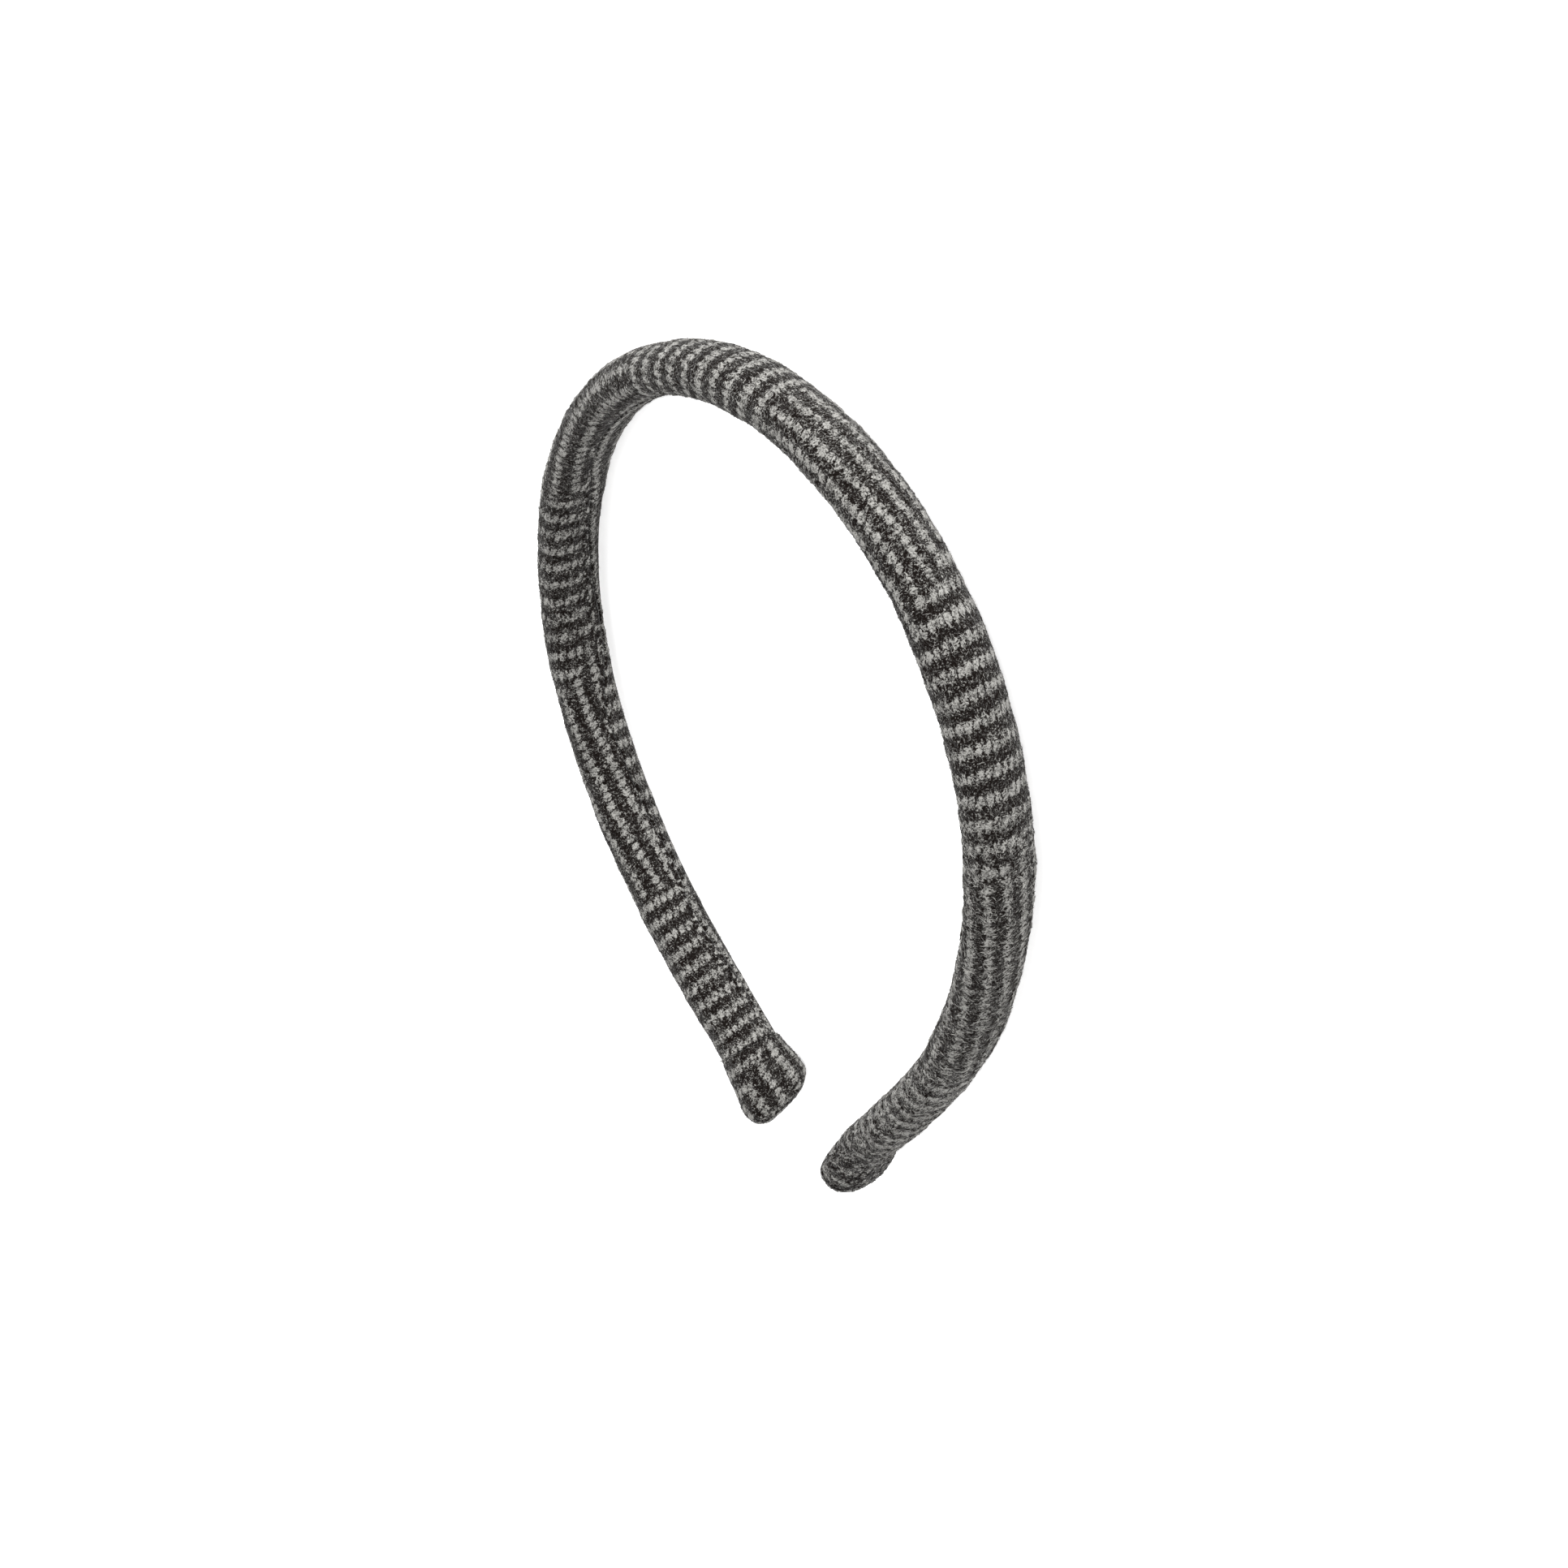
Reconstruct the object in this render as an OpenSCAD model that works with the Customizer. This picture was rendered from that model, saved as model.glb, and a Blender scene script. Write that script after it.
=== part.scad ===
// A thin padded headband, covered in cloth, lying on its side.
// X runs across the head, +Y points to the crown and Z is up from the surface that the band lies on.
// The origin is in the middle of the bounding box, on that surface.

/* [Curve of one arm, from the crown to the tip] */
// Length of the crown arc on each side of the middle
crown_length = 56; // [40:1:70]
// Radius of the crown arc
crown_radius = 54.3; // [48:0.1:62]
// Length of the shoulder arc
shoulder_length = 49; // [35:1:60]
// Radius of the shoulder arc
shoulder_radius = 62.7; // [55:0.1:75]
// Length of the side arc
side_length = 42; // [30:1:50]
// Radius of the side arc
side_radius = 89.7; // [80:0.1:120]
// Radius of the nearly straight lower stretch
lower_radius = 303; // [200:1:600]
// Length of the stretch that flares outwards before the tip
flare_length = 15; // [8:1:20]
// Radius of the outward flare
flare_radius = 50; // [30:1:80]
// Length of the left arm, from the middle of the crown to its tip
left_arm = 182.8; // [180:0.5:190]
// Length of the right arm, from the middle of the crown to its tip
right_arm = 188; // [180:0.5:190]

/* [Band] */
// Width of the padded band, measured up from the surface
band_width = 11; // [8:0.1:16]
// Thickness of the padded band outwards from its middle line
outer_depth = 4.1; // [3:0.05:5]
// Thickness of the padded band towards the head from its middle line
inner_depth = 3.75; // [3:0.05:5]
// Squareness of the side that faces away from the head (2 is an ellipse)
outer_squareness = 2.15; // [2:0.05:4]
// Squareness of the side that lies on the head
inner_squareness = 2.6; // [2:0.05:4]

/* [Seam lap] */
// Thickness of the lapped cloth along the head side
lap_thickness = 1.2; // [1:0.1:2]
// Height of the lap's turned edge above the band's own surface
lap_edge_rise = 0.35; // [0:0.05:0.8]
// Angle where the lap runs out below the head side, from the outward direction over the top
lap_end_angle = 246; // [235:1:255]

/* [End folds] */
// Length of the cloth folded round each tip
fold_length = 12.2; // [10:0.1:18]
// Thickness of the folded cloth
fold_thickness = 1; // [0.8:0.1:2]
// Radius of the tip's corners, seen on the flat side
tip_corner = 4.1; // [3:0.1:6]
// Length over which the tip's thickness rounds off
tip_nose = 3.2; // [3:0.1:6]
// How much further the left tip's upper corner reaches than its lower one
left_slant = 3; // [0:0.1:4]
// How much further the right tip's upper corner reaches than its lower one
right_slant = 2; // [0:0.1:4]

/* [Hidden] */

// Clearance between one layer of cloth and the next
clearance = 0.15;
// Spacing of the sections along the band
section_step = 4.5;
// Points round a section, and across the lap
round_points = 22;
lap_points = 6;
cloth_grey = [0.36, 0.35, 0.34];
lap_grey = [0.45, 0.44, 0.43];
fold_grey = [0.29, 0.28, 0.27];

// Gap between the seam and the cover beside it, as an angle round the section
seam_gap = 3;
// Least reach of a layer of cloth from the middle line, and the cover's draw-in inside a fold
least_reach = 0.4;
tucked_depth = 0.01;
// Share of the lap's width over which its turned edge stands up
edge_share = 0.25;
// Shares of the tip's thickness and width that are left at its very end, and how square their rounding is
nose_least = 0.25;
corner_least = 0.4;
end_squareness = 2.3;
// Length over which a tip's slant fades out
slant_length = 10;
// Spacing of the points that the bounding box of the plain band is found from
box_step = 1;

// Route of the seam along the head side, wandering as a hand-closed seam does.
// Columns: distance from the middle of the crown, the left arm below zero, and angle below the head
// side's middle
seam_line = [
    [-190, 40], [-160, 40], [-156, 35], [-148, 17], [-142, 17], [-137, 28], [-131, 28], [-126, 17],
    [-111, 10], [-105, 4], [-99, 13], [-91, 38], [-84, 38], [-77, 25], [-66, 13], [-58, 9],
    [-50, -1], [-37, -9], [0, 4], [60, 12], [120, 2], [190, 12],
];

// Swelling of the folded cloth over the plain band, which differs a little between the two tips.
// Columns: distance from the tip, outwards, towards the head, upper side, lower side
left_swell = [
    [0, 0.5, 0.1, 0.5, 1.6],
    [4, 0.7, 0.1, 0.6, 2.1],
    [7, 0.7, 0.1, 0.5, 1.8],
    [10, 0.5, 0.1, 0.3, 1.0],
    [12.2, 0.3, 0.1, 0.2, 0.5],
];
right_swell = [
    [0, 0.4, 0.1, 0.6, 1.4],
    [4, 0.5, -0.2, 0.7, 2.0],
    [7, 0.3, -0.4, 0.6, 1.7],
    [10, 0.1, -0.3, 0.4, 0.8],
    [12.2, 0.1, -0.1, 0.2, 0.2],
];

// The arcs of an arm. Columns: length, radius (below zero bends outwards)
function arm_arcs(arm) = [
    [crown_length, crown_radius],
    [shoulder_length, shoulder_radius],
    [side_length, side_radius],
    [arm - crown_length - shoulder_length - side_length - flare_length, lower_radius],
    [flare_length, -flare_radius],
];

// Moves a state of [x, y, heading] along one arc
function along(state, length, radius) =
    let (turned = state[2] + length / radius * 180 / PI)
    [
        state[0] + radius * (sin(turned) - sin(state[2])),
        state[1] + radius * (cos(turned) - cos(state[2])),
        turned,
    ];

// State of the centreline at a distance from the crown on the right side
function walk(arcs, distance, state = [0, 0, 0], row = 0) =
    distance <= arcs[row][0] || row == len(arcs) - 1
        ? along(state, distance, arcs[row][1])
        : walk(arcs, distance - arcs[row][0], along(state, arcs[row][0], arcs[row][1]), row + 1);

// Length of the arm that a place on the centreline belongs to
function arm_at(place) = place < 0 ? left_arm : right_arm;

// Distance of a place from the tip of its arm
function from_tip(place) = arm_at(place) - abs(place);

// A point at a place along the band, given outwards from the centreline, upwards, and towards the tip
function band_point(place, outwards, upwards, tipwards = 0) =
    let (
        side = place < 0 ? -1 : 1,
        state = walk(arm_arcs(arm_at(place)), abs(place)),
        across = outwards * [sin(state[2]), cos(state[2])] + tipwards * [cos(state[2]), -sin(state[2])]
    )
    [side * (state[0] + across[0]), state[1] + across[1], upwards];

// One column of a table of rows, read at a distance by straight interpolation
function table_at(table, distance, column) = lookup(distance, [for (row = table) [row[0], row[column]]]);

// A coordinate of a squared-off circle
function squared(value, squareness) = sign(value) * pow(abs(value), 2 / squareness);

// Section of [outwards, upwards] at an angle over the top, with reaches [out, in, up, down]
function section_point(angle, reach) =
    let (
        squareness = cos(angle) > 0 ? outer_squareness : inner_squareness,
        c = squared(cos(angle), squareness),
        s = squared(sin(angle), squareness)
    )
    [c * (c > 0 ? reach[0] : reach[1]), s * (s > 0 ? reach[2] : reach[3])];

// Share of the full size that is left near a rounded end
function rounded_share(distance, length, least) =
    let (part = 1 - min(1, max(0, distance / length)))
    least + (1 - least) * pow(1 - pow(part, end_squareness), 1 / end_squareness);

// Reaches of the plain padded band
band_reach = [outer_depth, inner_depth, band_width / 2, band_width / 2];

// Reaches of the folded cloth's outer face at the tip nearest a place, drawn in by an inset
function fold_reach(place, distance, inset) =
    let (
        swell_table = place < 0 ? left_swell : right_swell,
        nose = rounded_share(distance - inset, tip_nose, nose_least),
        corner = rounded_share(distance - inset, tip_corner, corner_least),
        swell = [for (column = [1:4]) table_at(swell_table, distance, column) - inset]
    )
    [
        (band_reach[0] + swell[0]) * nose,
        (band_reach[1] + swell[1]) * nose,
        (band_reach[2] + swell[2]) * corner,
        (band_reach[3] + swell[3]) * corner,
    ];

// Angle of the seam's turned edge at a place
function seam_angle(place) = 180 + table_at(seam_line, place, 1);

// Lean of the tip towards its upper corner
function tip_lean(place, upwards) =
    let (slant = place < 0 ? left_slant : right_slant)
    slant * upwards / band_reach[2] * max(0, 1 - from_tip(place) / slant_length) / 2;

// A ring of evenly spaced points with the reaches of the fold
function fold_ring(place, inset, at_least) =
    [for (i = [0:round_points - 1])
        let (
            reach = fold_reach(place, max(from_tip(place), at_least), inset),
            p = section_point(360 * i / round_points, reach)
        )
        band_point(place, p[0], p[1], tip_lean(place, p[1]))];

// Depth of the rebate that the lap lies in
rebate = lap_thickness + 2 * clearance;

// A ring of the cover: its open face from below the lap round to the seam, then the rebate under the lap
function cover_ring(place) =
    let (
        distance = from_tip(place),
        folded = distance < fold_length + 1.5 * clearance,
        inset = fold_thickness + 2 * clearance,
        reach = folded ? fold_reach(place, distance, inset) : band_reach,
        depth = folded ? tucked_depth : rebate,
        seam = seam_angle(place) - seam_gap,
        below = lap_end_angle + seam_gap,
        inner = [for (r = reach) max(least_reach, r - depth)]
    )
    [
        for (i = [0:round_points - 1])
            let (p = section_point(below + (seam + 360 - below) * i / (round_points - 1), reach))
            band_point(place, p[0], p[1], tip_lean(place, p[1])),
        for (i = [0:lap_points - 1])
            let (p = section_point(seam + (below - seam) * i / (lap_points - 1), inner))
            band_point(place, p[0], p[1], tip_lean(place, p[1])),
    ];

// A ring of the lap: its outer face from the turned edge downwards, then its inner face back
function lap_ring(place) =
    let (seam = seam_angle(place), inner = [for (r = band_reach) r - lap_thickness])
    [
        for (i = [0:lap_points - 1])
            let (
                share = i / (lap_points - 1),
                rise = lap_edge_rise * max(0, 1 - share / edge_share),
                outer = [for (r = band_reach) r + rise],
                p = section_point(seam + (lap_end_angle - seam) * share, outer)
            )
            band_point(place, p[0], p[1]),
        for (i = [0:lap_points - 1])
            let (p = section_point(lap_end_angle - (lap_end_angle - seam) * i / (lap_points - 1), inner))
            band_point(place, p[0], p[1]),
    ];

// Evenly spaced places between two ends, near a wanted spacing
function places(from, to, spacing) =
    let (count = ceil(abs(to - from) / spacing))
    [for (i = [0:count]) from + (to - from) * i / count];

// Distances of the fold's sections from the tip, closer together where the end rounds off
nose_distances = [0, 0.35, 0.9, 1.7, 2.7, 4, 5.6, 7.6, 9.8, fold_length];
inner_distances = [fold_length, 9.8, 7.6, 5.6, 4, 2.7, 1.8, 1.3, fold_thickness];
// The same for the cover inside a fold
tucked_distances = [1.3, 1.6, 2.1, 2.8, 4, 5.6, 7.6, 9.8, fold_length + clearance];

// Skin of a row of rings with flat ends, each ring turning the same way
module ring_skin(rings, flip = false) {
    size = len(rings[0]);
    rows = len(rings);
    sides = [
        for (row = [0:rows - 2], i = [0:size - 1])
            let (next = (i + 1) % size)
            each [
                [row * size + i, row * size + next, (row + 1) * size + next],
                [row * size + i, (row + 1) * size + next, (row + 1) * size + i],
            ],
    ];
    start = [for (i = [size - 1:-1:0]) i];
    finish = [for (i = [0:size - 1]) (rows - 1) * size + i];
    faces = concat(sides, [start, finish]);
    polyhedron(
        points = [for (ring = rings) each ring],
        faces = flip ? [for (face = faces) [for (i = [len(face) - 1:-1:0]) face[i]]] : faces,
        convexity = 10
    );
}

// Points on the outside of both tips, and on the plain band between them
tip_points = [
    for (side = [-1, 1], distance = nose_distances)
        each fold_ring(side * (arm_at(side) - distance), 0, 0),
];
band_points = [
    for (
        place = places(-left_arm + fold_length, right_arm - fold_length, box_step),
        angle = [0, 90, 180, 270]
    )
        let (p = section_point(angle, band_reach))
        band_point(place, p[0], p[1]),
];

// Tilt that brings the crown's underside down to the surface that the swollen tips rest on
rest_tilt = -atan(max([for (p = tip_points) (-p[2] - band_reach[3]) / -p[1]]));

// Shift that puts the origin in the middle of the tilted band's bounding box, on the surface
function tilted(p) =
    let (c = cos(rest_tilt), s = sin(rest_tilt))
    [p[0], p[1] * c - p[2] * s, p[1] * s + p[2] * c];
outline = [for (p = concat(tip_points, band_points)) tilted(p)];
function middle(axis) = (min([for (p = outline) p[axis]]) + max([for (p = outline) p[axis]])) / 2;
origin_shift = [-middle(0), -middle(1), -min([for (p = outline) p[2]])];

// Lays a piece on the surface, in its colour
module laid(cloth) {
    color(cloth) translate(origin_shift) rotate([rest_tilt, 0, 0]) children();
}

// Places of the sections of the plain band between the folds
plain_places = places(
    -left_arm + fold_length + 2 * clearance,
    right_arm - fold_length - 2 * clearance,
    section_step
);

module cover() {
    all_places = concat(
        [for (distance = tucked_distances) -left_arm + distance],
        plain_places,
        [for (i = [len(tucked_distances) - 1:-1:0]) right_arm - tucked_distances[i]]
    );
    laid(cloth_grey) ring_skin([for (place = all_places) cover_ring(place)], true);
}

module seam_lap() {
    last = len(plain_places) - 1;
    ends = [for (i = [0:last]) i == 0 ? 2 * clearance : i == last ? -2 * clearance : 0];
    laid(lap_grey) ring_skin([for (i = [0:last]) lap_ring(plain_places[i] + ends[i])], true);
}

// Cloth folded round a tip: a cup whose outer and inner faces meet at its rim
module end_fold(side, arm) {
    rings = concat(
        [for (distance = nose_distances) fold_ring(side * (arm - distance), 0, 0)],
        [for (distance = inner_distances)
            fold_ring(side * (arm - distance), fold_thickness, fold_thickness)]
    );
    laid(fold_grey) ring_skin(rings, side < 0);
}

module end_fold_left() { end_fold(-1, left_arm); }
module end_fold_right() { end_fold(1, right_arm); }

cover();
seam_lap();
end_fold_left();
end_fold_right();
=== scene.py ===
"""Looks of a thin padded headband in brushed check cloth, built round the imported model."""

import math

import bpy
import numpy as np
from mathutils import Matrix, Vector


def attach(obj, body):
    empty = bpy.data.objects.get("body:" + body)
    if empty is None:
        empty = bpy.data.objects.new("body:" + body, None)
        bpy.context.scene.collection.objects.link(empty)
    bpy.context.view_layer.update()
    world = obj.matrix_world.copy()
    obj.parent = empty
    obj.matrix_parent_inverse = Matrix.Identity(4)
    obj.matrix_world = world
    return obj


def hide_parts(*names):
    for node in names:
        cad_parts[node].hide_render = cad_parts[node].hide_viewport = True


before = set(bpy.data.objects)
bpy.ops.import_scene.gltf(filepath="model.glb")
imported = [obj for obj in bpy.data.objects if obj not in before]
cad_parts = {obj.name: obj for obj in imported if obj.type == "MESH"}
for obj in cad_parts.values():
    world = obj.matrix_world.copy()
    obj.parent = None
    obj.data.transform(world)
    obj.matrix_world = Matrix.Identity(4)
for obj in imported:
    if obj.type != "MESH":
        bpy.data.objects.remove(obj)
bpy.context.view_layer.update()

# Sizes of the band, in millimetres as in part.scad. An arc is a length along the centreline and a radius
MM = 0.001
CROWN_ARC = (56, 54.3)
SHOULDER_ARC = (49, 62.7)
SIDE_ARC = (42, 89.7)
LOWER_RADIUS = 303
FLARE_ARC = (15, -50)
LEFT_ARM = 182.8
RIGHT_ARM = 188.0
OUTER_DEPTH = 4.1
INNER_DEPTH = 3.75
HALF_WIDTH = 5.5
OUTER_SQUARENESS = 2.15
INNER_SQUARENESS = 2.6
BAND_REACH = np.array([OUTER_DEPTH, INNER_DEPTH, HALF_WIDTH, HALF_WIDTH])
# The gap between pieces, finer here than in part.scad
CLEARANCE = 0.06

# How part.scad lays the band down: a small tilt about X, then a shift of the crown's middle
REST_TILT = math.radians(-0.878549)
ORIGIN_SHIFT = np.array([-0.00055, 69.3193, 5.49935])

# Seam lap. Its angles are round the section, from the outward direction over the top
LAP_THICKNESS = 1.2
LAP_EDGE_RISE = 0.2
LAP_EDGE_WIDTH = 0.3
LAP_END_ANGLE = 246
HEAD_SIDE_ANGLE = 180
# Columns: distance from the middle of the crown, angle below the middle of the head side
SEAM_LINE = np.array([
    [-190, 40], [-160, 40], [-156, 35], [-148, 17], [-142, 17], [-137, 28], [-131, 28], [-126, 17],
    [-111, 10], [-105, 4], [-99, 13], [-91, 38], [-84, 38], [-77, 25], [-66, 13], [-58, 9],
    [-50, -1], [-37, -9], [0, 4], [60, 12], [120, 2], [190, 12],
])
# The share of the lap's width over which its raised edge falls off
LAP_FALL = 1 / 3
# Distances from the edge over which the yarns' relief begins
LAP_RELIEF_START = (0.2, 1.2)

# The cover stops this far before the lap's edge, and dips towards its own two long edges
SEAM_TUCK = 0.12
COVER_EDGE_WIDTH = 0.7
COVER_EDGE_DIP = 0.06
# The relief of its yarns begins within this distance of a fold
COVER_RELIEF_START = 1
# Its open side begins this angle beyond the lap's end. Under the lap it lies deeper, in a fold hardly at
# all, and it comes no closer to the centreline than its least reach
LAP_END_GAP = 2
DEPTH_IN_FOLD = 0.01
LEAST_REACH = 0.4

# End folds. The nose rounds a tip outwards and towards the head, the corner on its upper and lower sides.
# The least shares are what is left of the section at the tip itself
FOLD_LENGTH = 12.2
FOLD_THICKNESS = 1.0
TIP_CORNER = 4.1
TIP_NOSE = 3.2
NOSE_LEAST = 0.25
CORNER_LEAST = 0.4
TIP_ROUNDNESS = 2.3
# How much longer an arm is above than below at its slanted end, and the length over which the slant begins
LEFT_SLANT = 3.0
RIGHT_SLANT = 2.0
SLANT_LENGTH = 10
# The rounding of a fold's rim
RIM_ROUNDING = 0.15
RIM_WIDTH = 1.1
# Distances from the tip, and from the rim, over which the yarns' relief begins
NOSE_RELIEF_START = (0.5, 3)
RIM_RELIEF_START = (0, 1)
# Columns: distance from the tip, swelling outwards, towards the head, upper side, lower side
LEFT_SWELL = np.array([
    [0, 0.5, 0.1, 0.5, 1.6], [4, 0.7, 0.1, 0.6, 2.1], [7, 0.7, 0.1, 0.5, 1.8],
    [10, 0.5, 0.1, 0.3, 1.0], [12.2, 0.3, 0.1, 0.2, 0.5],
])
RIGHT_SWELL = np.array([
    [0, 0.4, 0.1, 0.6, 1.4], [4, 0.5, -0.2, 0.7, 2.0], [7, 0.3, -0.4, 0.6, 1.7],
    [10, 0.1, -0.3, 0.4, 0.8], [12.2, 0.1, -0.1, 0.2, 0.2],
])

# The check, charted. Light bars lie across the band where the bar number is whole
BAR_PERIOD = 3.5
# Columns: distance from the middle of the crown, bar number
BAR_ROUTE = np.array([
    [-190, -5.7], [-175.8, -1], [-166.8, 2], [-139.8, 10], [-93.8, 23], [-54, 34], [-14.5, 45], [17, 54],
    [54.5, 65], [93.6, 76], [141, 89], [190, 103],
])
# Columns: distance from the middle of the crown, lean of the bars, way round where they were read
BAR_LEAN = np.array([
    [-190, 0.12, 12], [-55, 0.1, 12], [-15, 0, 6], [17, 0, 5], [54, 0.08, 5], [190, 0.1, 5],
])
# Light lines run along the band where the line number is whole. Their usual distance from each other
LINE_PERIOD = 3.45
# Columns: distance from the middle of the crown, way round the section of line 0, distance between lines
LINE_ROUTE = np.array([
    [-190, 13, 3.45], [-180, 11.3, 3.45], [-175.5, 10.5, 3.45], [-134, 6.5, 3.4], [-122, 4.3, 3.7],
    [-110, 2.85, 3.7], [-104, 1.9, 3.7], [-97, 1.2, 3.7], [-50, -1.5, 3.5], [-26, -4, 3.5],
    [-17, -4.8, 3.5], [20, -7.4, 3.05], [34, -8.55, 3.05], [52, -10.8, 3.05], [100, -13.5, 3.1],
    [112, -14.75, 3.1], [130, -16.3, 3.1], [190, -20, 3.1],
])
# Edges where blocks of lines and blocks of bars take turns, starting with lines.
# Columns: bar number in the middle of what shows, its change for each millimetre round
BLOCK_EDGES = np.array([
    [-0.65, 0.22], [10.5, 0], [22.6, 0.3], [33.8, 0.2], [44.5, 0], [54.5, 0], [65.5, 0.25], [76.4, 0.2],
    [88.5, 0],
])
# Way round the section, on the underside, below which the next row of blocks begins
ROW_EDGE = -6.2
# Half the widths of the soft change at these edges, in bars and in millimetres
BLOCK_SOFTNESS = 0.12
ROW_SOFTNESS = 0.4

# The ovals of light yarn. Each bar and each line is a row of them, and a period of the other kind holds this
# many. The other values are the distance between rows, the distance between ovals in a row, the share of it
# that they move on from row to row, and the half sizes of an oval across and along its row
OVALS_A_BAR = 2.3
OVALS_A_LINE = 2.0
BAR_OVALS = {
    "count": OVALS_A_BAR, "row": BAR_PERIOD, "step": LINE_PERIOD / OVALS_A_BAR, "shift": 0.37,
    "half": (0.96, 0.74),
}
LINE_OVALS = {
    "count": OVALS_A_LINE, "row": LINE_PERIOD, "step": BAR_PERIOD / OVALS_A_LINE, "shift": 0.41,
    "half": (0.88, 0.84),
}
OVAL_SLANT = 0.35
# Where an oval fades out, in half sizes from its middle, in the relief and in the colour
RELIEF_FADE = (0.55, 1.25)
COLOUR_FADE = (0.55, 1.3)
# Heights of the light and the dark yarns over the cloth between them, and how deep that lies
LIGHT_YARN_HEIGHT = 0.09
DARK_YARN_HEIGHT = 0.05
BETWEEN_DEPTH = 0.06

# The brushed nap over the check. Columns: distance from the middle of the crown, how much it veils the
# check, how ragged it leaves the edges, how light it is, how much light yarn its fibres take along.
# Some rows paint light and shade into it: from -90 to -64 it is darker, as painted shade, and from 20 to 52
# lighter, as painted light. At the left tip's nose its lightness is partly painted bounce light, and towards
# the right tip it grows darker.
NAP_AND_PAINTED_LIGHT = np.array([
    [-190, 1, 0.3, 0.45, 0.9], [-182.2, 1, 0.3, 0.45, 0.9], [-180.6, 0, 0.3, 0.32, 1.4],
    [-174, 0, 0.3, 0.3, 1.1], [-171, 0.1, 0.3, 0.05, 0.7], [-142, 0.1, 0.3, 0.05, 0.7],
    [-137, 0, 0.3, 0.4, 0.9], [-94, 0, 0.3, 0.4, 0.9], [-90, 0.2, 0.35, 0.02, 0.5],
    [-64, 0.2, 0.35, 0.02, 0.5], [-50, 0, 0.4, 0.4, 0.9], [-20, 0, 0.5, 0.4, 0.9], [15, 0, 0.5, 0.5, 1],
    [20, 0.1, 0.45, 0.8, 1.7], [52, 0.1, 0.45, 0.75, 1.5], [58, 0.03, 0.4, 0.2, 0.9],
    [81, 0.03, 0.4, 0.2, 0.9], [87, 0.22, 0.7, 0.36, 1], [95, 0.25, 0.8, 0.42, 1.1],
    [99, 0.1, 0.8, 0.42, 1.1], [130, 0.15, 0.9, 0.46, 1.1], [145, 0.28, 0.9, 0.55, 1.2],
    [168, 0.28, 0.9, 0.5, 1.2], [176, 0.4, 0.8, 0.05, 0.6], [190, 0.5, 0.8, 0, 0.4],
])
# The same where the check is made dark: in a band beside the seam, where the cloth dips, and as painted
# shade on the right tip's nose
DARKENED_NAP = np.array([1, 0.3, 0.02, 0.6])
# Width of the dark band beside the seam. Columns: distance from the middle of the crown, width
DARK_BAND = np.array([
    [-190, 0], [-165, 0], [-161, 1.8], [-152, 2.2], [-148, 1.1], [-141, 0.7], [-137, 1.5], [-130, 1.4],
    [-125, 0.7], [-100, 0.7], [-94, 1.6], [-78, 2.2], [-70, 1.3], [-60, 0.9], [0, 0.9], [190, 0.9],
])
DARK_BAND_SOFTNESS = 0.35
# The light line along the lap's turned edge. Columns: distance from the middle of the crown, from the edge
EDGE_LINE = np.array([
    [-190, 0.6], [-155, 0.5], [-148, 0.9], [-142, 0.35], [-137, 0.5], [-130, 0.9], [190, 0.9],
])
# Shift of the bars that cross the lap, the stretches where it shows lines instead, and how softly they begin
LAP_BAR_SHIFT = 0.4
LAP_LINES = ((-172, -138.5), (-92, 19), (57, 95), (141, 190))
LAP_LINES_SOFTNESS = 0.4
# Painted shade on the right tip's nose: it turns dark between these distances, up to this way round the
# section
PAINTED_SHADE_NOSE = (184, 186)
PAINTED_SHADE_NOSE_WAY = 5.5
PAINTED_SHADE_NOSE_SOFTNESS = 1
# The left fold is pulled round between these two ways, so that its last line comes to the rim
LEFT_PULL = 1.3
LEFT_PULL_WAYS = (18.6, 20.6)

# Fineness of the meshes: points in each ring and distances between rings. Rows are distances from the tip
SECTION_SPACING = 0.4
OPEN_POINTS = 76
HIDDEN_POINTS = 10
COVER_HIDDEN_ROWS = np.array([1.3, 1.6, 2.1, 2.8, 4, 5.6, 7.6, 9.8, FOLD_LENGTH + CLEARANCE])
LAP_OUTER_POINTS = 18
LAP_INNER_POINTS = 6
LAP_EDGE_POINTS = 6
# The lap's points are closer together towards its edge by this power
LAP_CROWDING = 1.2
# Points at the edges of the cover and of the lap that carry no fibres
COVER_BARE_POINTS = 2
LAP_BARE_POINTS = 3
FOLD_POINTS = 96
# The nose's rows are closer together towards the tip, as the angles of a quarter turn lay them
FOLD_NOSE_DEPTH = 4
FOLD_NOSE_ANGLES = np.linspace(0.12, math.pi / 2, 12)
FOLD_SHOWN_ROWS = np.linspace(FOLD_NOSE_DEPTH + 0.3, FOLD_LENGTH, 30)
FOLD_INNER_ROWS = np.array([FOLD_LENGTH - 0.3, 9.8, 7.6, 5.6, 4, 2.7, 1.8, 1.3, FOLD_THICKNESS])
# Rings that close the nose: their share of its section and how far they stand out
FOLD_CAPS = ((0.25, 0.32), (0.6, 0.2), (0.86, 0.07))

# Pieces of loose fibres and the stretch of the band that each grows on
NAP_PIECES = (("left_arm_nap", -190, -65), ("crown_nap", -65, 65), ("right_arm_nap", 65, 190))
# Loose fibres: their number, lengths, heights and thicknesses. The raised ones are light, thin and stand up
FIBRES_A_PIECE = 15500
RAISED_SHARE = 0.14
FIBRE_LENGTH = (0.5, 1.2)
RAISED_LIFT = (0.16, 0.34)
LYING_LIFT = (0.01, 0.07)
RAISED_THICKNESS = 0.017
LYING_THICKNESS = (0.03, 0.055)
ROOT_DEPTH = 0.03
# How a fibre rises in each third of its length
FIBRE_ARCH = (0.9, 0, -0.6)
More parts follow.
